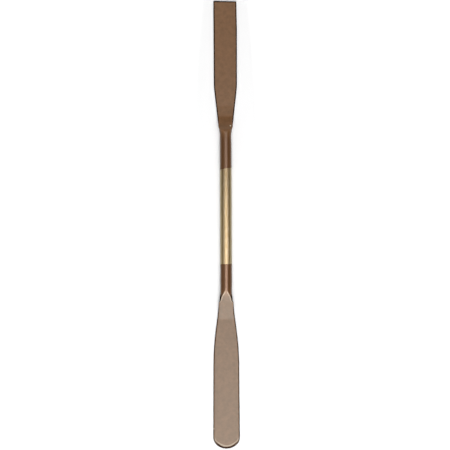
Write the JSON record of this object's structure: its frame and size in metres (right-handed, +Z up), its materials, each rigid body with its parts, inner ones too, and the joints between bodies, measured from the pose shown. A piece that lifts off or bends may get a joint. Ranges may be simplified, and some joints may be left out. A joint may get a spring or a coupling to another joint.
{
  "type": "lab spatula",
  "caption": "Lab spatula for lifting, scraping and spreading powders: a round steel shank forged flat into a square-ended blade and a round-ended blade, each coated up to a bare middle grip.",
  "frame": {"origin": "centre of the bounding box in plan, on the flat underside of the blades", "axes": "+Y along the tool towards the square-ended blade, +Z up from the underside, +X across the blades"},
  "size_m": [0.0122, 0.21, 0.0051],
  "materials": {
    "coated_steel": "satin",
    "bare_steel": "satin"
  },
  "bodies": {
    "root": {"spatula": "coated_steel"}
  },
  "joints": []
}
